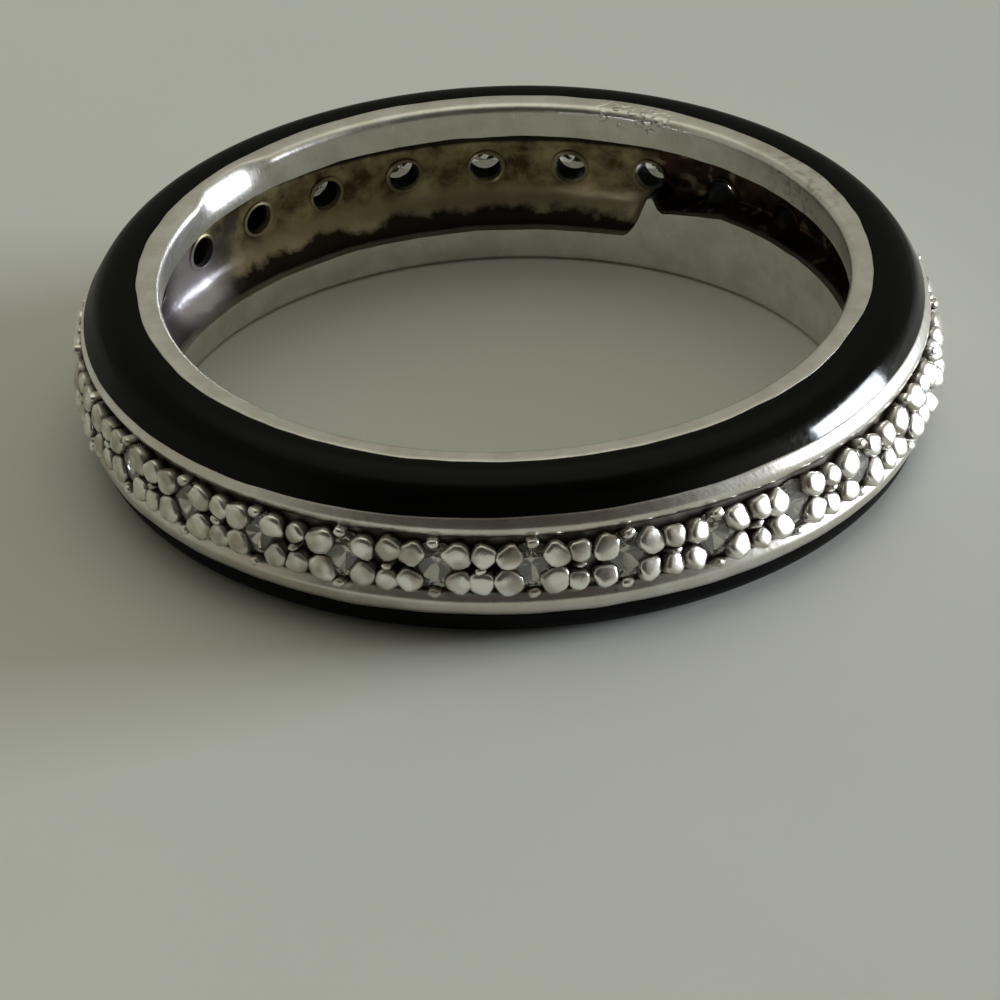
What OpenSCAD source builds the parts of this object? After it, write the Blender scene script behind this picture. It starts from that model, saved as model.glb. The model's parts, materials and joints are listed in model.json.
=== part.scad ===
// Eternity ring: a silver band with a row of round stones round the middle
// and a domed band of black enamel on each shoulder. It lies on its side,
// with its axis along Z and its lower edge at Z = 0. Units are millimetres.

/* [Band] */
// Diameter of the finger hole
finger_d = 17.3; // [16:0.1:19]
// Width of the ring along its axis
ring_w = 4.5; // [4.5:0.1:5]
// Thickness of the band, from the finger hole to the outside of the rails
band_t = 2; // [1.9:0.02:2.1]
// Width of the flat silver edge beside each enamel band
land_w = 0.6; // [0.5:0.01:0.65]
// Rounding of the edges of the finger hole
bore_round = 0.2; // [0.1:0.05:0.3]
// Width of each rail beside the stones, along the axis
rail_w = 0.45; // [0.35:0.05:0.55]
// Rounding of the rails' edges
rail_round = 0.08; // [0.04:0.02:0.12]
// Height of the rails over the floor that holds the stones
rail_h = 0.25; // [0.2:0.01:0.3]

/* [Hollow inside] */
// Width of the hollow that runs round the inside
hollow_w = 2.76; // [2.4:0.02:2.9]
// Depth of that hollow
hollow_depth = 0.9; // [0.7:0.05:0.95]
// Angle where the plain panel for the marks begins
panel_start = 15; // [5:1:20]
// Angle that the panel takes up
panel_angle = 48.5; // [30:0.5:60]
// How far the panel's upper edge lies below the middle of the band
panel_drop = 0.15; // [0.05:0.05:0.5]

/* [Enamel] */
// Thickness of the enamel
enamel_t = 0.35; // [0.25:0.05:0.4]
// Height of the enamel's dome over the line between its two edges
dome_rise = 0.25; // [0.15:0.01:0.28]
// How far the enamel is polished down below the silver beside it
enamel_sink = 0.03; // [0.02:0.01:0.05]
// Gap between the enamel and its recess
enamel_gap = 0.02; // [0.01:0.005:0.03]

/* [Stones] */
// Number of stones
stone_n = 28; // [24:4:28]
// Diameter of a stone
stone_d = 1.3; // [1.1:0.02:1.36]
// Width of the channel that the stones stand in
channel_w = 1.73; // [1.7:0.01:1.8]
// Height of the stones' girdles over the channel's floor
girdle_lift = 0.08; // [0.06:0.01:0.12]
// Diameter of the hole behind each stone
back_hole_d = 1.0; // [0.8:0.05:1.02]
// Gap between a stone and its seat
seat_gap = 0.02; // [0.01:0.005:0.03]
// How much each stone is turned on from the one before it
stone_turn = 19; // [0:1:44]
// How far a stone and its seat lean, each to a side of its own
stone_lean = 2; // [0:0.5:3]

/* [Grains] */
// Radius of the grains that hold the stones
grain_r = 0.3; // [0.24:0.01:0.3]
// Distance from a stone's middle to its grains, round the ring
grain_along = 0.74; // [0.7:0.01:0.78]
// Distance from the middle of the channel to a grain, along the axis
grain_across = 0.47; // [0.44:0.01:0.5]
// How far a grain's middle stands over the channel's floor
grain_lift = 0.24; // [0.2:0.01:0.26]
// Radius of the small grain midway between two stones
spacer_r = 0.17; // [0.12:0.01:0.2]

/* [Hidden] */
bore_r = finger_d / 2;
half_w = ring_w / 2;
land_r = bore_r + land_w;
rail_r = bore_r + band_t;
floor_r = rail_r - rail_h;
hollow_r = bore_r + hollow_depth;
channel_half = channel_w / 2;
rail_top = channel_half + rail_w;
// Where a cut begins inside the finger hole, well clear of the metal
cut_r = bore_r - band_t;
// How far a cut runs on into space that is already open
cut_over = 0.05;

// The dome's arc runs from the land's outer corner to the rail's
dome_a = [land_r, half_w];
dome_b = [rail_r, rail_top];
dome_chord = norm(dome_b - dome_a);
dome_r = (pow(dome_chord / 2, 2) + pow(dome_rise, 2)) / (2 * dome_rise);
dome_out = [dome_a[1] - dome_b[1], dome_b[0] - dome_a[0]] / dome_chord;
dome_c = (dome_a + dome_b) / 2 - dome_out * (dome_r - dome_rise);

// Proportions of the round brilliant cut, as shares of its diameter
stone_r = stone_d / 2;
table_r = 0.28 * stone_d;
crown_h = 0.15 * stone_d;
girdle_h = 0.03 * stone_d;
pavilion_h = 0.42 * stone_d;
star_share = 0.5;
lower_share = 0.25;
stone_pitch = 360 / stone_n;
// Angle from the side one stone leans to, to the side the next leans to
lean_step = 137.5;
girdle_r = floor_r + girdle_lift;
seat_r = stone_r + seat_gap;
back_hole_r = back_hole_d / 2;

function stone_name(k) = str("stone_", k < 10 ? "0" : "", k);

// What is cut away to round a square corner of a profile.
// The corner points along sx and sy, each 1 or -1.
module corner_cut(corner, radius, sx, sy) {
    difference() {
        translate(corner) square(2 * radius, center = true);
        translate(corner - radius * [sx, sy]) circle(radius, $fn = 48);
    }
}

// Silver of one shoulder: the land, the bed under the enamel and the rail
module shoulder_profile() {
    difference() {
        union() {
            translate([bore_r, 0]) square([land_w, half_w]);
            translate([bore_r, channel_half]) square([band_t, rail_w]);
            intersection() {
                translate(dome_c) circle(dome_r - enamel_t, $fn = 96);
                translate([bore_r, channel_half]) square([band_t, half_w]);
            }
        }
        corner_cut([bore_r, half_w], bore_round, -1, 1);
        corner_cut([rail_r, rail_top], rail_round, 1, 1);
        corner_cut([rail_r, channel_half], rail_round, 1, -1);
    }
}

module band_profile() {
    translate([bore_r, -rail_top]) square([band_t - rail_h, 2 * rail_top]);
    for (side = [0, 1]) mirror([0, side]) shoulder_profile();
}

// A ring of square section, or a part of one
module ring_block(inner, outer, low, high, angle) {
    rotate_extrude(angle = angle, $fn = 120)
        translate([inner, low]) square([outer - inner, high - low]);
}

// The hollow inside the band, whose lower part leaves out the panel
module hollow() {
    low = -hollow_w / 2;
    difference() {
        ring_block(cut_r, hollow_r, low, hollow_w / 2, 360);
        rotate([0, 0, panel_start])
            ring_block(cut_r - cut_over, hollow_r + cut_over, low - cut_over, -panel_drop,
                panel_angle);
    }
}

// Moves a shape to a place on the channel, its own Z pointing outwards
module on_channel(angle, along, across, radius) {
    turn = angle + along / floor_r * 180 / PI;
    rotate([0, 0, turn]) translate([radius, 0, across]) rotate([0, 90, 0]) children();
}

module grain(angle, along, across, radius) {
    on_channel(angle, along, across, floor_r + grain_lift * radius / grain_r)
        sphere(radius, $fn = 32);
}

// The four grains round one stone, and the spacer after it
module grains(angle) {
    for (side = [-1, 1], end = [-1, 1])
        grain(angle, end * grain_along, side * grain_across, grain_r);
    grain(angle + stone_pitch / 2, 0, 0, spacer_r);
}

// Moves a stone or its seat to the place of stone k, counted from 1
module seated(k) {
    on_channel((k - 1) * stone_pitch, 0, 0, girdle_r)
        rotate([0, 0, k * lean_step]) rotate([stone_lean, 0, 0]) children();
}

// The hole behind a stone, its seat, and room for the stone itself
module seat_cut() {
    hole_end = hollow_r - girdle_r - cut_over;
    low = -girdle_h / 2 - seat_gap;
    high = girdle_h / 2 + crown_h + seat_gap;
    rotate_extrude($fn = 64) polygon([
        [0, hole_end],
        [back_hole_r, hole_end],
        [back_hole_r, low - (seat_r - back_hole_r) * pavilion_h / stone_r],
        [seat_r, low],
        [seat_r, girdle_h / 2 + seat_gap],
        [table_r + seat_gap, high],
        [0, high]
    ]);
}

module band() {
    color("silver") translate([0, 0, half_w]) difference() {
        union() {
            rotate_extrude($fn = 120) band_profile();
            for (k = [1 : stone_n]) grains((k - 1) * stone_pitch);
        }
        hollow();
        for (k = [1 : stone_n]) seated(k) seat_cut();
    }
}

// One band of enamel, lying in the recess between the land and the rail
module enamel_profile() {
    difference() {
        intersection() {
            translate(dome_c) circle(dome_r - enamel_sink, $fn = 96);
            translate([land_r + enamel_gap, rail_top + enamel_gap]) square(band_t);
        }
        translate(dome_c) circle(dome_r - enamel_t + enamel_gap, $fn = 96);
    }
}

module enamel(side) {
    color([0.03, 0.03, 0.035]) translate([0, 0, half_w]) rotate_extrude($fn = 120)
        mirror([0, side]) enamel_profile();
}

// A ring of points on a stone, each at a height along the stone's axis
function ring_points(count, radius, height, turn) = [
    for (i = [0 : count - 1])
        let (a = turn + i * 360 / count) [radius * cos(a), radius * sin(a), height]
];

// A round brilliant: a table, 8 stars, 8 kites and 16 halves over the
// girdle, and 16 halves and 8 mains below it
module brilliant() {
    half_turn = 22.5;
    table_h = girdle_h / 2 + crown_h;
    star_r = table_r * cos(half_turn) * (1 - star_share) + stone_r * star_share;
    star_h = table_h - (star_r * cos(half_turn) - table_r) * crown_h / (stone_r - table_r);
    main_r = lower_share * stone_r;
    culet_h = -girdle_h / 2 - pavilion_h;
    main_h = culet_h + main_r * cos(half_turn) * pavilion_h / stone_r;
    points = concat(
        ring_points(8, table_r, table_h, 0),
        ring_points(8, star_r, star_h, half_turn),
        ring_points(16, stone_r, girdle_h / 2, 0),
        ring_points(16, stone_r, -girdle_h / 2, 0),
        ring_points(8, main_r, main_h, half_turn),
        [[0, 0, culet_h]]
    );
    star = 8;
    upper = 16;
    lower = 32;
    main = 48;
    culet = 56;
    faces = concat(
        [[for (i = [7 : -1 : 0]) i]],
        [for (i = [0 : 7]) [i, (i + 1) % 8, star + i]],
        [for (i = [0 : 7]) [i, star + i, upper + 2 * i, star + (i + 7) % 8]],
        [for (i = [0 : 7]) [star + i, upper + 2 * i + 1, upper + 2 * i]],
        [for (i = [0 : 7]) [star + i, upper + (2 * i + 2) % 16, upper + 2 * i + 1]],
        [for (i = [0 : 15]) let (j = (i + 1) % 16) [upper + i, upper + j, lower + j, lower + i]],
        [for (i = [0 : 7]) [main + i, lower + 2 * i, lower + 2 * i + 1]],
        [for (i = [0 : 7]) [main + i, lower + 2 * i + 1, lower + (2 * i + 2) % 16]],
        [for (i = [0 : 7]) [culet, main + (i + 7) % 8, lower + 2 * i, main + i]]
    );
    polyhedron(points, faces);
}

module stone(k) {
    color([0.9, 0.92, 0.95]) translate([0, 0, half_w])
        seated(k) rotate([0, 0, k * stone_turn]) brilliant();
}

band();
enamel(0);  // enamel_upper
enamel(1);  // enamel_lower
for (k = [1 : stone_n])
    stone(k);
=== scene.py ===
"""Looks for a silver eternity ring with shoulders of black enamel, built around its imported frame."""
import json
from math import atan, atan2, cos, degrees, hypot, pi, radians, sin
from random import Random

import bpy
from mathutils import Matrix, Quaternion, Vector, geometry, noise


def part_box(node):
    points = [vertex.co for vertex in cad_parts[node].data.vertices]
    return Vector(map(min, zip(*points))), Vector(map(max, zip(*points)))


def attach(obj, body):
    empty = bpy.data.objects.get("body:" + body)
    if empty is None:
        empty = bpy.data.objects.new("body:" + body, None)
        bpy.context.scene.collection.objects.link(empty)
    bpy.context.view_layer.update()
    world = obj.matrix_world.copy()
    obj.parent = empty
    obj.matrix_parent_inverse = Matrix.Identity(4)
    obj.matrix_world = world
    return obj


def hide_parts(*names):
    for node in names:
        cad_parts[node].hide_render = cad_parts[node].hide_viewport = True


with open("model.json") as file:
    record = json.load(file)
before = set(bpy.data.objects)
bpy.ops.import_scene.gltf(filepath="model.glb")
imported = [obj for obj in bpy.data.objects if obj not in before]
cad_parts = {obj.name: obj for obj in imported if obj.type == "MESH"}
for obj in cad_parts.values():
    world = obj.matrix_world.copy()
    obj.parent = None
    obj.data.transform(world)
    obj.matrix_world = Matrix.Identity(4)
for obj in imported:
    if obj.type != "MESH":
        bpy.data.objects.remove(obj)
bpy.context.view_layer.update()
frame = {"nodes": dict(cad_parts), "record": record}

# Silver band
# One silver casting, filed and polished by hand: a flat edge round each side of the finger hole,
# a recess for the enamel beside it, and two rails with the stones' channel between them.
# Sides are 1 for the upper one and -1 for the lower, and angles go round the ring in degrees.
mm = 0.001
mounts = {mount["name"]: mount for mount in frame["record"]["mounts"]}
bore_r = mounts["finger_bore"]["dims"]["r_mm"] * mm
half_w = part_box("band")[1].z / 2
land_w = 0.6 * mm
land_r = bore_r + land_w
thickness = 2 * mm
rail_r = bore_r + thickness
rail_low = {1: 0.82 * mm, -1: 0.73 * mm}
rail_high = 1.4 * mm
rail_h = 0.25 * mm
floor_r = rail_r - rail_h
bore_round = 0.2 * mm
land_round = 0.04 * mm
rail_round = 0.04 * mm
channel_round = 0.04 * mm
stone_n = 28
pitch = 2 * pi / stone_n
ring_steps = 14 * stone_n
centre = Vector((0, 0, half_w))
weld = 0.001 * mm


def arc(middle, radius, start, end, steps):
    """Points on a round stretch of a section, from one angle to another in degrees"""
    turns = [radians(start + (end - start) * i / steps) for i in range(steps + 1)]
    return [(middle[0] + radius * cos(a), middle[1] + radius * sin(a)) for a in turns]


def straight(start, end, steps):
    """Points on a straight stretch of a section, without its two ends"""
    (r1, z1), (r2, z2) = start, end
    return [(r1 + (r2 - r1) * i / steps, z1 + (z2 - z1) * i / steps) for i in range(1, steps)]


def select_only(*pieces):
    bpy.ops.object.select_all(action="DESELECT")
    for piece in pieces:
        piece.select_set(True)
        bpy.context.view_layer.objects.active = piece


def turn_section(name, section, steps, closed=True):
    """Draws a section point by point, as radius and height, and spins it round the Z axis"""
    select_only()
    r, z = section[0]
    bpy.ops.mesh.primitive_plane_add(size=mm, location=(r, 0, z), enter_editmode=True)
    bpy.ops.mesh.merge(type="CENTER")
    for next_r, next_z in section[1:] + [section[0]] * closed:
        step = (next_r - r, 0, next_z - z)
        bpy.ops.mesh.extrude_vertices_move(TRANSFORM_OT_translate={"value": step})
        r, z = next_r, next_z
    bpy.ops.mesh.select_all(action="SELECT")
    bpy.ops.mesh.spin(steps=steps, angle=2 * pi, center=(0, 0, 0), axis=(0, 0, 1))
    bpy.ops.mesh.select_all(action="SELECT")
    bpy.ops.mesh.remove_doubles(threshold=weld)
    bpy.ops.mesh.normals_make_consistent(inside=False)
    bpy.ops.object.mode_set(mode="OBJECT")
    piece = bpy.context.object
    piece.name = piece.data.name = name
    bpy.ops.object.transform_apply()
    return piece


def move(piece, matrix):
    """Moves a piece within its mesh, so that its object stays at the origin"""
    piece.data.transform(matrix)
    return piece


def near(value, target, reach):
    """1 at the target, falling to 0 a reach away from it"""
    return max(0, 1 - abs(value - target) / reach)


# Hand filing leaves every edge a little off true. Besides that, the upper rail's edge lies higher at
# the right and lower and further out at the left, and the foot of the lower rail lies further in.
waves = 4.5
fine_waves = 2.7
fine_share = 0.5
row_apart = 7.3
reach_out = 0.5 * mm
land_reach = 0.8 * mm
high_reach = 0.4 * mm
low_reach = 0.3 * mm
land_stray = 0.06 * mm
rail_stray_out = 0.02 * mm
rail_stray_up = 0.05 * mm
right_lift = 0.09 * mm
left_drop = 0.12 * mm
left_growth = 0.13 * mm
foot_drop = 0.06 * mm
foot_shrink = 0.11 * mm


def wander(angle, row, reach):
    """How far hand work strays from true, at an angle in radians; each row strays its own way"""
    spot = Vector((cos(angle), sin(angle), 0)) * waves + Vector((0, 0, row * row_apart))
    return reach * (noise.noise(spot) + fine_share * noise.noise(spot * fine_waves))


def file_by_hand(piece):
    """Lets the edges between silver and enamel, and the rails, stray as hand-filed edges do"""
    for vertex in piece.data.vertices:
        x, y, z = vertex.co
        radius, angle, side = hypot(x, y), atan2(y, x), (1 if z > 0 else -1)
        land = near(radius, land_r, reach_out) * near(abs(z), half_w, land_reach)
        rail = near(radius, rail_r, reach_out)
        upper = rail * near(abs(z), rail_high, high_reach)
        lower = rail * near(abs(z), rail_low[side], low_reach)
        grown = 1 + land * wander(angle, side, land_stray) / radius
        grown += (upper + lower) * wander(angle, 3 * side, rail_stray_out) / radius
        rise = upper * wander(angle, 5 * side, rail_stray_up)
        rise += lower * wander(angle, 9 * side, rail_stray_up)
        if side > 0:
            leftward = max(0, -cos(angle))
            rise += upper * (right_lift * cos(angle) - left_drop * leftward)
            grown += upper * leftward * left_growth / radius
        else:
            rise -= upper * foot_drop
            grown -= upper * foot_shrink / radius
        vertex.co = (x * grown, y * grown, z + rise)


worn_at = 140
worn_reach = 10
worn_from = 1.68 * mm
worn_slope = 0.52


def wear_edge(piece):
    """Wears a slope into the wall of the upper lip, at the place where it has rubbed most"""
    for vertex in piece.data.vertices:
        x, y, z = vertex.co
        radius, worn = hypot(x, y), min(1, 2 * near(degrees(atan2(y, x)), worn_at, worn_reach))
        across = max(0, 1 - (radius - bore_r) / land_w)
        depth = worn_slope * worn * max(0, z - worn_from) * across
        grown = 1 + depth / radius
        vertex.co = (x * grown, y * grown, z)


# The bottom of the recess: how far each point lies outside the finger hole, and how high
bed = [(bore_r + out * mm, up * mm) for out, up in ((0.6, 1.9), (1.1, 1.88), (1.45, 1.7), (1.63, 1.4))]

# The face of a rail: the depths of its slope and of its rounded foot, and the shares of its height
# at which the section has a point
rail_drop = 0.14 * mm
rail_slope = 0.28 * mm
rail_tilt = 0.5
rail_foot = 0.23 * mm
face_rows = (0.93, 0.84, 0.75, 0.66, 0.57, 0.48, 0.39, 0.3, 0.21, 0.13, 0.06)
wall_rows = (0.3 * mm, 0.9 * mm, 1.3 * mm, 1.5 * mm, 1.75 * mm)
floor_rows = (0.5 * mm, 0.2 * mm)


def rail_face(side):
    """The outer face of a rail, filed to a slope in its upper part and rounded at its foot"""
    face = []
    for up in face_rows:
        below_high = (rail_high - rail_low[side]) * (1 - up)
        over_low = (rail_high - rail_low[side]) * up
        under_top, over_foot = (below_high, over_low) if side > 0 else (over_low, below_high)
        drop = max(0, rail_slope - under_top) * rail_tilt
        drop += max(0, 1 - over_foot / rail_foot) ** 2 * rail_drop
        face.append((rail_r - drop, rail_low[side] + over_low))
    return face


def half_section(side):
    """The band's section from the middle of the finger hole's wall to the middle of the channel"""
    low = rail_low[side]
    edge_r = rail_r - rail_drop - rail_round
    return (
        [(bore_r, z) for z in wall_rows]
        + arc((bore_r + bore_round, half_w - bore_round), bore_round, 180, 90, 6)
        + straight((bore_r + bore_round, half_w), (land_r - land_round, half_w), 3)
        + arc((land_r - land_round, half_w - land_round), land_round, 90, 0, 3)
        + bed
        + arc((edge_r, rail_high - rail_round), rail_round, 95, 45, 3)
        + rail_face(side)
        + arc((edge_r, low + rail_round), rail_round, -45, -90, 3)
        + [(floor_r + channel_round, low), (floor_r, low - channel_round)]
        + [(floor_r, z) for z in floor_rows]
    )


lower_half = [(r, -z) for r, z in reversed(half_section(-1))]
band = turn_section("silver_band", half_section(1) + lower_half, ring_steps)
wear_edge(band)
file_by_hand(band)

# Hollow and plain panel
# The casting is hollowed out from inside to save silver, and left rough. Its lower lip widens to a
# plain panel over part of the way round, whose top edge dips and ends in a small spur.
hollow_r = bore_r + 0.9 * mm
hollow_half = 1.38 * mm
hollow_round = 0.2 * mm
trough_round = 1.1 * mm
inside_r = bore_r - 0.7 * mm
cast_lump = 0.9 * mm
cast_depth = 0.07 * mm
panel_start = 9
panel_end = 63.5
panel_ramp = 4
panel_top = -0.15 * mm
dip_start = 48
dip_run = 12
dip_depth = 0.36 * mm
spur_half = 1.6
spur_h = 0.55 * mm


def apply_modifier(piece, kind, **settings):
    modifier = piece.modifiers.new(kind.lower(), kind)
    for key, value in settings.items():
        setattr(modifier, key, value)
    select_only(piece)
    bpy.ops.object.modifier_apply(modifier=modifier.name)


def roughen(piece, size, depth):
    """Shallow lumps and dents in a cast surface, about size across and depth deep"""
    lumps = bpy.data.textures.new("lumps", "CLOUDS")
    lumps.noise_scale = size
    lumps.noise_depth = 2
    apply_modifier(piece, "DISPLACE", texture=lumps, texture_coords="LOCAL", strength=depth, mid_level=0.5)


def cut(piece, tool, operation="DIFFERENCE"):
    """Cuts a tool out of a piece, or joins it on, and takes the tool away"""
    apply_modifier(piece, "BOOLEAN", object=tool, operation=operation, solver="MANIFOLD")
    bpy.data.objects.remove(tool)


hollow = turn_section(
    "hollow",
    [(inside_r, hollow_half)]
    + straight((inside_r, hollow_half), (hollow_r - hollow_round, hollow_half), 4)
    + arc((hollow_r - hollow_round, hollow_half - hollow_round), hollow_round, 90, 0, 4)
    + straight((hollow_r, hollow_half - hollow_round), (hollow_r, trough_round - hollow_half), 12)
    + arc((hollow_r - trough_round, trough_round - hollow_half), trough_round, 0, -90, 8)
    + straight((hollow_r - trough_round, -hollow_half), (inside_r, -hollow_half), 2)
    + [(inside_r, -hollow_half)],
    ring_steps,
)
for vertex in hollow.data.vertices:
    x, y, z = vertex.co
    angle = degrees(atan2(y, x))
    past_start, to_end = angle - panel_start + panel_ramp, panel_end + panel_ramp - angle
    if z < 0 and past_start > 0 and to_end > 0:
        slope = min(1, past_start / panel_ramp, to_end / panel_ramp)
        dip = dip_depth * max(0, min(1, (angle - dip_start) / dip_run))
        spur = spur_h * near(angle, panel_end - spur_half, spur_half)
        share = z / -hollow_half
        vertex.co.z = z + share * (slope**2 * (panel_top - dip + hollow_half) + spur)
roughen(hollow, cast_lump, cast_depth)
cut(band, hollow)

# Grains
# The stones are held by grains: curls of silver that the setter raises from the channel's floor
# with a graver, pushes over each stone and rounds off with a hollow punch, each a little different.
# Those near one angle are pushed over further, and catch the light of the window.
grain_r = 0.3 * mm
grain_lift = 0.37 * mm
grain_lump = 0.4 * mm
grain_rough = 0.035 * mm
flat_top = 0.38
long_root = 1.5
boxy = -0.56
pebble_kinds = (1, 3, 5, 7, 9, 12, 14, 16)
lobes = ((3, 1, 0.05), (4, -2, 0.05), (5, 0, 0.03))
along_stray = 0.06 * mm
across_stray = 0.04 * mm
swells = (0.88, 1.08)
rises = (0.9, 1.05)
turns = (-0.35, 0.35)
tips_along = (-8, 8)
tips_across = (-9, 1)
pushed_at = -38
pushed_reach = 60
pushed_up = 21
pushed_round = 0.75
pushed_round_most = 20
hand = Random(28)


def on_channel(angle, along, across, radius):
    """Takes a shape to a place on the channel, its own Z pointing outwards"""
    turn = angle + along / floor_r
    place = Matrix.Translation((radius, 0, across)) @ Matrix.Rotation(pi / 2, 4, "Y")
    return Matrix.Rotation(turn, 4, "Z") @ place


def copy_of(piece, matrix):
    """A copy with its own mesh, moved within that mesh"""
    twin = piece.copy()
    twin.data = piece.data.copy()
    bpy.context.collection.objects.link(twin)
    return move(twin, matrix)


def joined(pieces, name):
    select_only(*pieces)
    bpy.ops.object.join()
    whole = bpy.context.object
    whole.name = whole.data.name = name
    return whole


def pebble(kind):
    """A grain with a flat rounded top and an uneven outline, which differs from kind to kind"""
    select_only()
    bpy.ops.mesh.primitive_uv_sphere_add(segments=16, ring_count=10, radius=grain_r)
    piece = bpy.context.object
    for vertex in piece.data.vertices:
        x, y, z = vertex.co
        angle, out = atan2(y, x), max(0.01, hypot(x, y) / grain_r)
        uneven = 1 + sum(share * cos(n * angle + shift * kind) for n, shift, share in lobes)
        fuller = out**boxy * uneven
        vertex.co = (x * fuller, y * fuller, z * (flat_top if z > 0 else long_root))
    move(piece, Matrix.Translation((kind * mm, 0, 0)))
    roughen(piece, grain_lump, grain_rough)
    return move(piece, Matrix.Translation((-kind * mm, 0, 0)))


pebbles = [pebble(kind) for kind in pebble_kinds]


def grain(angle, along, across, size, turn=0):
    """One grain, near enough at its place; its size is two shares, of a pebble's length and width"""
    long, wide = size
    shape = hand.choice(pebbles)
    along += hand.uniform(-along_stray, along_stray)
    across += hand.uniform(-across_stray, across_stray)
    swell = hand.uniform(*swells)
    size = Matrix.Diagonal((wide * swell, long * swell, 1, 1))
    turned = Matrix.Rotation(turn + hand.uniform(*turns), 4, "Z")
    off = (degrees(angle) - pushed_at + 180) % 360 - 180
    pushed = min(1, 2 * near(off, 0, pushed_reach))
    round_ring = pushed * max(-pushed_round_most, min(pushed_round_most, pushed_round * off))
    lean = Matrix.Rotation(radians(hand.uniform(*tips_along) + round_ring), 4, "X")
    lean @= Matrix.Rotation(radians(hand.uniform(*tips_across) - pushed_up * pushed), 4, "Y")
    place = on_channel(angle, along, across, floor_r + grain_lift * hand.uniform(*rises))
    return copy_of(shape, place @ lean @ turned @ size)


# Four grains at the corners of each stone and a small one at each side of it, then two side by side
# before the next stone with a small one in their middle
corner_along = 0.55 * mm
corner_across = 0.38 * mm
corner_size = (1.24, 1.1)
corner_turn = -0.6
side_across = 0.69 * mm
side_size = (0.56, 0.42)
between_across = 0.41 * mm
between_size = (1.04, 1)
spacer_size = (0.5, 0.32)
corners, sides, between = [], [], []
middle = (rail_low[1] - rail_low[-1]) / 2
for k in range(stone_n):
    for side in (-1, 1):
        for end in (-1, 1):
            along, across = end * corner_along, middle + side * corner_across
            corners.append(grain(k * pitch, along, across, corner_size, corner_turn * side * end))
        sides.append(grain(k * pitch, 0, middle + side * side_across, side_size))
        between.append(grain((k + 0.5) * pitch, 0, middle + side * between_across, between_size))
    sides.append(grain((k + 0.5) * pitch, 0, middle, spacer_size))
cut(band, joined(corners, "corner_grains"), "UNION")
cut(band, joined(sides, "side_grains"), "UNION")
cut(band, joined(between, "grains_between"), "UNION")
for shape in pebbles:
    bpy.data.objects.remove(shape)

# Seats and the holes behind the stones
# A seat is drilled and cut for each stone. A smaller hole goes on through to the hollow, to let
# light and water in, and the drill leaves a low rim round it there.
girdle_r = floor_r + 0.08 * mm
stone_r = 0.65 * mm
seat_gap = 0.02 * mm
seat_r = stone_r + seat_gap
table_r = 0.364 * mm
crown_h = 0.195 * mm
girdle_h = 0.039 * mm
pavilion_h = 0.546 * mm
back_hole_r = 0.4 * mm
drill_past = 0.25 * mm
rim_r = 0.07 * mm
rim_out = 0.04 * mm
drill_steps = 24
lean_step = radians(137.5)
stone_lean = radians(2)
smallest = 0.0001 * mm
crease = radians(40)


def seated(k):
    """Takes a shape to the place of stone k, counted from 1, leaning as that stone leans"""
    lean = Matrix.Rotation(k * lean_step, 4, "Z") @ Matrix.Rotation(stone_lean, 4, "X")
    return on_channel((k - 1) * pitch, 0, 0, girdle_r) @ lean


under = girdle_h / 2 + seat_gap
hole_end = hollow_r - girdle_r - drill_past
seat = turn_section(
    "seat",
    [
        (0, hole_end),
        (back_hole_r, hole_end),
        (back_hole_r, -under - (seat_r - back_hole_r) * pavilion_h / stone_r),
        (seat_r, -under),
        (seat_r, under),
        (table_r + seat_gap, under + crown_h),
        (0, under + crown_h),
    ],
    drill_steps,
    closed=False,
)
rim = turn_section("rim", arc((back_hole_r + rim_out, 0), rim_r, 0, 315, 7), drill_steps)
rims = [copy_of(rim, on_channel(k * pitch, 0, 0, hollow_r)) for k in range(stone_n)]
seats = [copy_of(seat, seated(k + 1)) for k in range(stone_n)]
cut(band, joined(rims, "rims"), "UNION")
cut(band, joined(seats, "seats"))
for shape in (rim, seat):
    bpy.data.objects.remove(shape)


def drop_crumbs(piece):
    """Keeps the largest part of a piece, and takes away the loose crumbs that cutting leaves"""
    name = piece.name
    select_only(piece)
    bpy.ops.object.mode_set(mode="EDIT")
    bpy.ops.mesh.select_all(action="SELECT")
    bpy.ops.mesh.dissolve_degenerate(threshold=smallest)
    bpy.ops.mesh.separate(type="LOOSE")
    bpy.ops.object.mode_set(mode="OBJECT")
    *crumbs, whole = sorted(bpy.context.selected_objects, key=lambda part: len(part.data.polygons))
    for crumb in crumbs:
        bpy.data.objects.remove(crumb)
    whole.name = whole.data.name = name
    return whole


def shade(piece):
    select_only(piece)
    bpy.ops.object.shade_smooth_by_angle(angle=crease)


band = drop_crumbs(band)
move(band, Matrix.Translation(centre))
shade(band)

# Silver
# Sterling silver, polished by hand and worn: a soft mirror with hairline scratches and a few nicks.
# The hollow has never been polished and is tarnished olive brown, violet grey at its left end, with
# painted shade behind the panel and in its dark corners, and grime and painted shade darken the gaps
# between the grains.
blend = {"data_type": "RGBA"}
multiply = {"operation": "MULTIPLY"}
multiply_add = {"operation": "MULTIPLY_ADD"}
ease = {"interpolation_type": "SMOOTHSTEP"}


def linear(colour):
    """An sRGB hex colour as linear red, green, blue and alpha"""
    parts = [int(colour[i : i + 2], 16) / 255 for i in (0, 2, 4)]
    return [c / 12.92 if c <= 0.04045 else ((c + 0.055) / 1.055) ** 2.4 for c in parts] + [1]


def connect(tree, node, **inputs):
    """Gives inputs a value, or a link from an output or from another node's first output in use"""
    for key, value in inputs.items():
        socket = node.inputs[int(key[2:]) if key[2:].isdigit() else key.replace("_", " ")]
        if isinstance(value, bpy.types.Node):
            value = next(output for output in value.outputs if output.enabled)
        if isinstance(value, bpy.types.NodeSocket):
            tree.links.new(value, socket)
        else:
            socket.default_value = value


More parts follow.
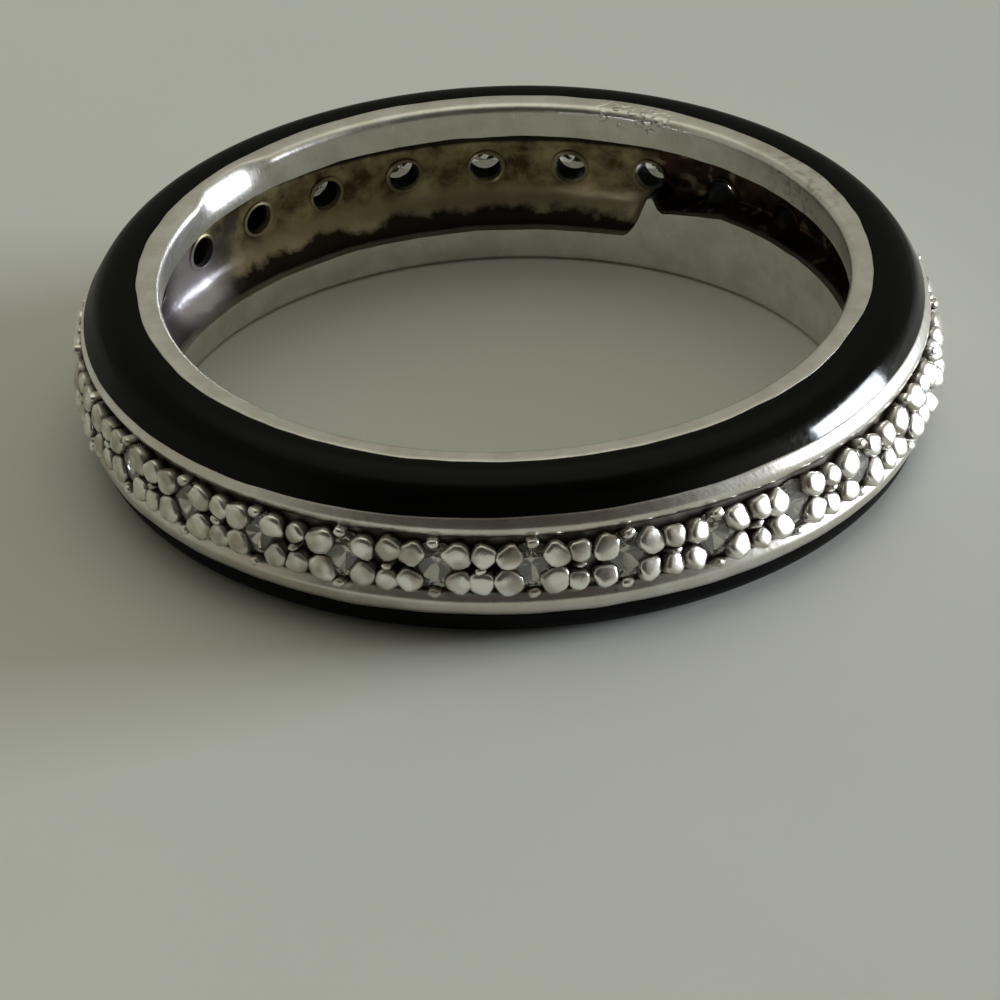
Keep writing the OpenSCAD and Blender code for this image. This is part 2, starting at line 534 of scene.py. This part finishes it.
def add_node(tree, kind, settings=None, **inputs):
    """Adds a node with its settings and inputs, by name or counted from in0"""
    node = tree.nodes.new(kind)
    for key, value in (settings or {}).items():
        setattr(node, key, value)
    connect(tree, node, **inputs)
    return node


def new_material(name):
    material = bpy.data.materials.new(name)
    material.use_nodes = True
    tree = material.node_tree
    shader = tree.nodes["Principled BSDF"]
    spot = add_node(tree, "ShaderNodeTexCoord").outputs["Object"]
    return material, tree, shader, spot


def around(tree, spot, angle, radius, height, reach, amount):
    """How much a patch on the band shows: the amount near its middle, and nothing beyond its reach"""
    place = Vector((radius * cos(radians(angle)), radius * sin(radians(angle)), half_w + height))
    away = add_node(tree, "ShaderNodeVectorMath", {"operation": "DISTANCE"}, in0=spot, in1=place)
    core = reach / 3
    return add_node(
        tree, "ShaderNodeMapRange", ease, Value=away, From_Min=reach, From_Max=core, To_Max=amount
    )


# Each point's place: rightward, rearward and up from the band's middle, its distance from the axis,
# and its height above or below the middle
silver, tree, shader, spot = new_material("worn_sterling_silver")
lifted = add_node(tree, "ShaderNodeVectorMath", {"operation": "SUBTRACT"}, in0=spot, in1=centre)
rightward, rearward, up = add_node(tree, "ShaderNodeSeparateXYZ", in0=lifted).outputs
flat = add_node(tree, "ShaderNodeCombineXYZ", in0=rightward, in1=rearward)
radius = add_node(tree, "ShaderNodeVectorMath", {"operation": "LENGTH"}, in0=flat)
height = add_node(tree, "ShaderNodeMath", {"operation": "ABSOLUTE"}, in0=up)

# The hollow's own surface, between the two lips and below the channel's floor, with ragged borders
blotch = add_node(tree, "ShaderNodeTexNoise", Vector=spot, Scale=1 / (0.9 * mm), Detail=4, Roughness=0.6)
ragged = add_node(tree, "ShaderNodeMath", multiply_add, in0=blotch, in1=0.25 * mm, in2=height)
in_radius = add_node(
    tree, "ShaderNodeMapRange", Value=radius, From_Min=bore_r + 0.03 * mm, From_Max=bore_r + 0.2 * mm
)
under_floor = add_node(
    tree, "ShaderNodeMapRange", Value=radius, From_Min=floor_r - 0.05 * mm, From_Max=floor_r - 0.2 * mm
)
in_height = add_node(tree, "ShaderNodeMapRange", Value=ragged, From_Min=1.62 * mm, From_Max=1.5 * mm)
in_depth = add_node(tree, "ShaderNodeMath", multiply, in0=in_radius, in1=under_floor)
hollowed = add_node(tree, "ShaderNodeMath", multiply, in0=in_depth, in1=in_height)

# Its tarnish: mottled olive brown, paler where lumps of the floor are rubbed, with painted shade: a dark
# ledge over the lower lip and a dark line under the upper one
mottle = add_node(tree, "ShaderNodeMapRange", Value=blotch, From_Min=0.38, From_Max=0.64)
tarnish = add_node(tree, "ShaderNodeMix", blend, in0=mottle, in6=linear("54442c"), in7=linear("bfb289"))
rubbed = add_node(
    tree, "ShaderNodeMapRange",
    Value=radius, From_Min=hollow_r - 0.01 * mm, From_Max=hollow_r - 0.08 * mm, To_Max=0.7,
)
tarnish = add_node(tree, "ShaderNodeMix", blend, in0=rubbed, in6=tarnish, in7=linear("c9bd9c"))
ledge_edge = add_node(tree, "ShaderNodeMath", multiply_add, in0=blotch, in1=0.7 * mm, in2=up)
# Painted shade: darker over the lower lip, in the hollow's lower corner, with a ragged edge
painted_shade_ledge = add_node(tree, "ShaderNodeMapRange", Value=ledge_edge, From_Min=-0.6 * mm, From_Max=-0.75 * mm)
tarnish = add_node(tree, "ShaderNodeMix", blend, in0=painted_shade_ledge, in6=tarnish, in7=linear("30241a"))
# Painted shade: a dark line at the top of the hollow, just under the upper lip
painted_shade_under_lip = add_node(
    tree, "ShaderNodeMapRange", Value=up, From_Min=0.69 * mm, From_Max=0.77 * mm, To_Max=0.95
)
tarnish = add_node(tree, "ShaderNodeMix", blend, in0=painted_shade_under_lip, in6=tarnish, in7=linear("1c150d"))

# Its left end: violet grey in the lower part, with one painted highlight: a pale patch where the
# window's reflection falls
leftward = add_node(tree, "ShaderNodeMath", multiply_add, in0=blotch, in1=2.4 * mm, in2=rightward)
left_end = add_node(
    tree, "ShaderNodeMapRange", ease, Value=leftward, From_Min=-4.8 * mm, From_Max=-5.9 * mm, To_Max=0.95
)
low_down = add_node(tree, "ShaderNodeMapRange", Value=ledge_edge, From_Min=0.8 * mm, From_Max=0.2 * mm)
violet = add_node(tree, "ShaderNodeMath", multiply, in0=left_end, in1=low_down)
tarnish = add_node(tree, "ShaderNodeMix", blend, in0=violet, in6=tarnish, in7=linear("6f666c"))
# Painted highlight: the colour is paled round the spot where the window's reflection falls
painted_highlight_patch = around(tree, spot, 145, 9.3 * mm, -0.85 * mm, 1.5 * mm, 1)
tarnish = add_node(tree, "ShaderNodeMix", blend, in0=painted_highlight_patch, in6=tarnish, in7=linear("e6e0e8"))

# The stretch behind the panel: painted shade, dark brown with pale flecks, and black painted shade
# in the holes behind the stones
way = add_node(tree, "ShaderNodeVectorMath", {"operation": "NORMALIZE"}, in0=flat)
panel_middle = radians((panel_start + panel_end) / 2)
panel_way = Vector((cos(panel_middle), sin(panel_middle), 0))
off_panel = add_node(tree, "ShaderNodeVectorMath", {"operation": "DISTANCE"}, in0=way, in1=panel_way)
half_chord = 2 * sin(radians((panel_end - panel_start) / 4))
behind = add_node(
    tree, "ShaderNodeMapRange", Value=off_panel, From_Min=half_chord + 0.05, From_Max=half_chord - 0.02
)
# Painted shade: the narrow groove above the panel is dark brown, with pale flecks
painted_shade_behind_panel = add_node(tree, "ShaderNodeMix", blend, in0=mottle, in6=linear("1a130f"), in7=linear("54392b"))
scale = add_node(tree, "ShaderNodeTexNoise", Vector=spot, Scale=1 / (0.45 * mm), Detail=1)
flake = add_node(tree, "ShaderNodeMapRange", Value=scale, From_Min=0.6, From_Max=0.75, To_Max=0.85)
painted_shade_behind_panel = add_node(tree, "ShaderNodeMix", blend, in0=flake, in6=painted_shade_behind_panel, in7=linear("a89c86"))
tarnish = add_node(tree, "ShaderNodeMix", blend, in0=behind, in6=tarnish, in7=painted_shade_behind_panel)
# Painted shade: near black on the walls of the holes behind the stones
painted_shade_in_hole = add_node(
    tree, "ShaderNodeMapRange", Value=radius, From_Min=hollow_r + 0.08 * mm, From_Max=hollow_r + 0.16 * mm
)
tarnish = add_node(tree, "ShaderNodeMix", blend, in0=painted_shade_in_hole, in6=tarnish, in7=linear("0e0a07"))

# Grime and painted shade in the channel, darkest where its floor and the roots of the grains are shut in
crevice = add_node(tree, "ShaderNodeAmbientOcclusion", {"samples": 8}, Distance=0.3 * mm)
shut = add_node(tree, "ShaderNodeMapRange", Value=crevice.outputs["AO"], From_Min=0.78, From_Max=0.42)
outside = add_node(
    tree, "ShaderNodeMapRange", Value=radius, From_Min=floor_r - 0.3 * mm, From_Max=floor_r - 0.1 * mm
)
channel = add_node(
    tree, "ShaderNodeMapRange",
    Value=height, From_Min=rail_low[1] + 0.04 * mm, From_Max=rail_low[1] - 0.06 * mm,
)
in_channel = add_node(tree, "ShaderNodeMath", multiply, in0=outside, in1=channel)
grime_and_shade = add_node(tree, "ShaderNodeMath", multiply, in0=in_channel, in1=shut)

# The polished outside: faintly clouded, with warm stains on the rails, grains that are each brighter
# or duller than the next, and scuffs that grey the flat edge at the right
cloudy = add_node(tree, "ShaderNodeMapRange", Value=blotch, From_Min=0.4, From_Max=0.62)
polish = add_node(tree, "ShaderNodeMix", blend, in0=cloudy, in6=linear("edebe6"), in7=linear("dedad3"))
cloud = add_node(tree, "ShaderNodeTexNoise", Vector=spot, Scale=1 / (3 * mm), Detail=2)
on_rails = add_node(
    tree, "ShaderNodeMapRange", Value=radius, From_Min=rail_r - 0.25 * mm, From_Max=rail_r - 0.1 * mm
)
dimmed = add_node(tree, "ShaderNodeMapRange", Value=cloud, From_Min=0.42, From_Max=0.6, To_Max=0.6)
stain = add_node(tree, "ShaderNodeMath", multiply, in0=on_rails, in1=dimmed)
polish = add_node(tree, "ShaderNodeMix", blend, in0=stain, in6=polish, in7=linear("dfd3c7"))
on_grains = add_node(
    tree, "ShaderNodeMapRange", Value=radius, From_Min=rail_r + 0.02 * mm, From_Max=rail_r + 0.08 * mm
)
each = add_node(tree, "ShaderNodeTexNoise", Vector=spot, Scale=1 / (0.55 * mm), Detail=1)
brighter = add_node(tree, "ShaderNodeMapRange", Value=each, From_Min=0.38, From_Max=0.58)
grain_colour = add_node(
    tree, "ShaderNodeMix", blend, in0=brighter, in6=linear("c9c1b6"), in7=linear("fdfbf6")
)
polish = add_node(tree, "ShaderNodeMix", blend, in0=on_grains, in6=polish, in7=grain_colour)
nick = add_node(tree, "ShaderNodeTexNoise", Vector=spot, Scale=1 / (0.3 * mm), Detail=1)
nicks = add_node(tree, "ShaderNodeMapRange", Value=nick, From_Min=0.52, From_Max=0.64)
right_edge = around(tree, spot, 28, land_r, half_w, 2.6 * mm, 0.55)
scuffed = add_node(tree, "ShaderNodeMath", multiply, in0=nicks, in1=right_edge)
polish = add_node(tree, "ShaderNodeMix", blend, in0=scuffed, in6=polish, in7=linear("a7a199"))

# Bare metal shines as a mirror does. Tarnish is duller and partly a crust, and where grime and
# painted shade darken the channel, it is all crust
inside = add_node(tree, "ShaderNodeMix", blend, in0=hollowed, in6=polish, in7=tarnish)
# Painted shade and grime: dark brown in the channel's crevices
colour = add_node(tree, "ShaderNodeMix", blend, in0=grime_and_shade, in6=inside, in7=linear("40301f"))
bare = add_node(tree, "ShaderNodeMapRange", Value=hollowed, To_Min=1, To_Max=0.75)
clean = add_node(tree, "ShaderNodeMix", in0=grime_and_shade, in2=bare, in3=0)
stretch = add_node(tree, "ShaderNodeMapping", Vector=spot, Scale=(1, 6, 1), Rotation=(0, 0, 0.6))
hairline = add_node(
    tree, "ShaderNodeTexNoise", Vector=stretch, Scale=1 / (0.25 * mm), Detail=6, Roughness=0.7
)
gloss = add_node(
    tree, "ShaderNodeMapRange", Value=hairline, From_Min=0.3, From_Max=0.7, To_Min=0.26, To_Max=0.36
)
dulled = add_node(tree, "ShaderNodeMix", in0=violet, in2=0.44, in3=0.27)
dull = add_node(tree, "ShaderNodeMix", in0=hollowed, in2=gloss, in3=dulled)
grain_gloss = add_node(
    tree, "ShaderNodeMapRange", Value=each, From_Min=0.4, From_Max=0.6, To_Min=0.36, To_Max=0.22
)
satin = add_node(tree, "ShaderNodeMix", in0=on_grains, in2=dull, in3=grain_gloss)
dirty = add_node(tree, "ShaderNodeMix", in0=grime_and_shade, in2=satin, in3=0.7)

# Hairline scratches and shallow pits all over, with nicks in two places on the upper lip's edge and,
# faintly, at the violet grey end. Real hairlines are too fine to show, so these are drawn coarser
scratched = add_node(tree, "ShaderNodeBump", Strength=0.12, Distance=0.01 * mm, Height=hairline)
pitted = add_node(
    tree, "ShaderNodeBump", Strength=0.4, Distance=0.05 * mm, Height=blotch, Normal=scratched
)
first_dent = around(tree, spot, 61.5, bore_r + 0.1 * mm, half_w, 0.7 * mm, 0.6)
second_dent = around(tree, spot, 68.5, bore_r + 0.1 * mm, half_w, 0.7 * mm, 0.6)
dented = add_node(tree, "ShaderNodeMath", in0=first_dent, in1=second_dent)
beaten = add_node(tree, "ShaderNodeMath", multiply_add, in0=violet, in1=0.05, in2=dented)
nicked = add_node(tree, "ShaderNodeBump", Strength=beaten, Distance=0.05 * mm, Height=nicks, Normal=pitted)
connect(tree, shader, Base_Color=colour, Metallic=clean, Roughness=dirty, Normal=nicked)
band.data.materials.clear()
band.data.materials.append(silver)
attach(band, "root")
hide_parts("band")

# Black enamel
# Ground glass fired in the recess of each shoulder, then stoned and polished into a dome that is
# level with the silver beside it. It is a closed ring, turned from its own section.
enamel_gap = 0.012 * mm
enamel_sink = 0.01 * mm
dome_steps = 26
dome_start = Vector((land_r + enamel_gap, half_w - enamel_sink))
start_pull = Vector((land_r + 0.8 * mm, half_w + 0.03 * mm))
end_pull = Vector((rail_r - rail_drop - 0.22 * mm, rail_high + 0.56 * mm))
dome_end = Vector((rail_r - rail_drop, rail_high + enamel_gap))
dome = geometry.interpolate_bezier(dome_start, start_pull, end_pull, dome_end, dome_steps)
shoulder = [tuple(point) for point in dome] + [(r + enamel_gap, z + enamel_gap) for r, z in reversed(bed)]

# The black has no shine of its own, and a thin glassy coat, a little uneven and hazy, gives it soft
# reflections. As a painted highlight, the coat is made strongest at the right, along the upper
# shoulder's outer edge only, where the window's reflection falls
enamel, tree, shader, spot = new_material("black_fired_enamel")
ripple = add_node(tree, "ShaderNodeTexNoise", Vector=spot, Scale=1 / (1.6 * mm), Detail=2)
black = add_node(tree, "ShaderNodeMix", blend, in0=ripple, in6=linear("020302"), in7=linear("060706"))
uneven = add_node(tree, "ShaderNodeBump", Strength=0.3, Distance=0.06 * mm, Height=ripple)
rubbed = add_node(tree, "ShaderNodeTexNoise", Vector=spot, Scale=1 / (0.2 * mm), Detail=5, Roughness=0.7)
haze = add_node(
    tree, "ShaderNodeMapRange", Value=rubbed, From_Min=0.35, From_Max=0.7, To_Min=0.08, To_Max=0.16
)
rightward, rearward, up = add_node(tree, "ShaderNodeSeparateXYZ", in0=spot).outputs
flat = add_node(tree, "ShaderNodeCombineXYZ", in0=rightward, in1=rearward)
radius = add_node(tree, "ShaderNodeVectorMath", {"operation": "LENGTH"}, in0=flat)
outer = add_node(
    tree, "ShaderNodeMapRange", Value=radius, From_Min=rail_r - 0.4 * mm, From_Max=rail_r - 0.25 * mm
)
at_right = add_node(
    tree, "ShaderNodeMapRange",
    Value=rightward, From_Min=-3 * mm, From_Max=4 * mm, To_Min=0.08, To_Max=0.65,
)
outer_right = add_node(tree, "ShaderNodeMath", multiply, in0=outer, in1=at_right)
upper = add_node(tree, "ShaderNodeMath", {"operation": "GREATER_THAN"}, in0=up, in1=half_w)
# Painted highlight: a stronger coat at the right of the upper shoulder's outer edge
coat_and_painted_sheen = add_node(tree, "ShaderNodeMath", multiply_add, in0=outer_right, in1=upper, in2=0.22)
connect(tree, shader, Base_Color=black, Roughness=0.4, Specular_IOR_Level=0)
connect(tree, shader, Coat_Weight=coat_and_painted_sheen, Coat_Roughness=haze, Coat_IOR=1.52, Coat_Normal=uneven)

for node, side in (("enamel_upper", 1), ("enamel_lower", -1)):
    piece = turn_section(f"black_{node}", [(r, side * z) for r, z in shoulder], ring_steps)
    file_by_hand(piece)
    move(piece, Matrix.Translation(centre))
    shade(piece)
    piece.data.materials.append(enamel)
    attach(piece, "root")
    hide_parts(node)

# Stones
# Round brilliants of cubic zirconia, clear and hard: polished facets under a thin film of dust. Their
# pale body, part diffuse, is painted light that stands in for the light the facets send back. They
# are the frame's own solids, and only get their material here.
zirconia, tree, shader, spot = new_material("cubic_zirconia")
dust = add_node(tree, "ShaderNodeTexNoise", Vector=spot, Scale=1 / (0.3 * mm), Detail=4)
# Painted light: a pale diffuse body under the clear facets, mottled by dust
dust_and_painted_light = add_node(tree, "ShaderNodeMix", blend, in0=dust, in6=linear("f6f5f0"), in7=linear("dedcd2"))
film = add_node(
    tree, "ShaderNodeMapRange", Value=dust, From_Min=0.45, From_Max=0.7, To_Min=0.02, To_Max=0.1
)
connect(tree, shader, Base_Color=dust_and_painted_light, Roughness=film, Transmission_Weight=0.88, IOR=2.15)
for k in range(stone_n):
    stone = frame["nodes"][f"stone_{k + 1:02d}"]
    stone.data.materials.clear()
    stone.data.materials.append(zirconia)

# Table
# The stage that the ring lies on: a plain pale table top of matt laminate, a little warm in colour
# and faintly clouded.
table_size = 1.2
select_only()
bpy.ops.mesh.primitive_plane_add(size=table_size)
table = bpy.context.object
table.name = "table"
matt, tree, shader, spot = new_material("matt_laminate")
cloudy = add_node(tree, "ShaderNodeTexNoise", Vector=spot, Scale=1 / (9 * mm), Detail=3)
pale = add_node(tree, "ShaderNodeMix", blend, in0=cloudy, in6=linear("e2e4dd"), in7=linear("e7e9e2"))
connect(tree, shader, Base_Color=pale, Roughness=0.6, Specular_IOR_Level=0.3)
table.data.materials.append(matt)

# Camera
# It looks down at the ring from far off, turned a little to one side and rolled a little, and
# aimed so that the middle of the ring lies where the photograph has it.
view_azimuth = radians(-92.25)
view_elevation = radians(29.94)
view_distance = 0.4
view_roll = radians(1.98)
frame_px = 1000
focal_px = 15927
middle_px = (507.4, 352.3)
sensor = 36
nearest = 0.01


def direction(azimuth, elevation):
    return Vector((cos(elevation) * cos(azimuth), cos(elevation) * sin(azimuth), sin(elevation)))


camera = bpy.data.objects.new("camera", bpy.data.cameras.new("camera"))
bpy.context.collection.objects.link(camera)
camera.data.sensor_width = sensor
camera.data.lens = focal_px / frame_px * sensor
camera.data.clip_start = nearest
back = direction(view_azimuth, view_elevation)
camera.location = centre + back * view_distance
pan = Quaternion((0, 1, 0), atan((middle_px[0] - frame_px / 2) / focal_px))
tip = Quaternion((1, 0, 0), atan((middle_px[1] - frame_px / 2) / focal_px))
roll = Quaternion((0, 0, 1), -view_roll)
camera.rotation_euler = (back.to_track_quat("Z", "Y") @ roll @ pan @ tip).to_euler()
bpy.context.scene.camera = camera

# Room
# The walls are a warm grey and the ceiling is pale. The side where the photographer stands is dark,
# which is what keeps the enamel black.
dark_way = direction(view_azimuth, radians(18))
pale_way = direction(radians(88), radians(75))
dark_side = (0.04, 0.035, 0.03, 1)
pale_side = (0.67, 0.66, 0.545, 1)
walls = (0.285, 0.28, 0.228, 1)
world = bpy.data.worlds.new("room")
bpy.context.scene.world = world
world.use_nodes = True
tree = world.node_tree
ray = add_node(tree, "ShaderNodeTexCoord").outputs["Generated"]
to_dark = add_node(tree, "ShaderNodeVectorMath", {"operation": "DOT_PRODUCT"}, in0=ray, in1=dark_way)
dark = add_node(tree, "ShaderNodeMapRange", ease, Value=to_dark, From_Min=0.35, From_Max=0.85)
to_pale = add_node(tree, "ShaderNodeVectorMath", {"operation": "DOT_PRODUCT"}, in0=ray, in1=pale_way)
high = add_node(tree, "ShaderNodeMapRange", ease, Value=to_pale, From_Min=0.75, From_Max=0.97)
room = add_node(tree, "ShaderNodeMix", blend, in0=high, in6=walls, in7=pale_side)
glow = add_node(tree, "ShaderNodeMix", blend, in0=dark, in6=room, in7=dark_side)
connect(tree, tree.nodes["Background"], Color=glow)
bpy.context.scene.view_settings.view_transform = "Standard"

# Window
# Cool daylight falls from a window low at the right. It is one flat lamp that faces the ring, as wide
# and as far off as the reflection on the enamel asks for.
window_way = direction(radians(8), radians(7.5))
window_distance = 1.5
window_w = 0.7
window_h = 0.38
daylight = (0.84, 0.9, 0.98)
watts = 34
light = bpy.data.lights.new("window", "AREA")
light.shape = "RECTANGLE"
light.size, light.size_y = window_w, window_h
light.energy = watts
light.color = daylight
window = bpy.data.objects.new("window", light)
bpy.context.collection.objects.link(window)
window.location = centre + window_way * window_distance
window.rotation_euler = window_way.to_track_quat("Z", "Y").to_euler()
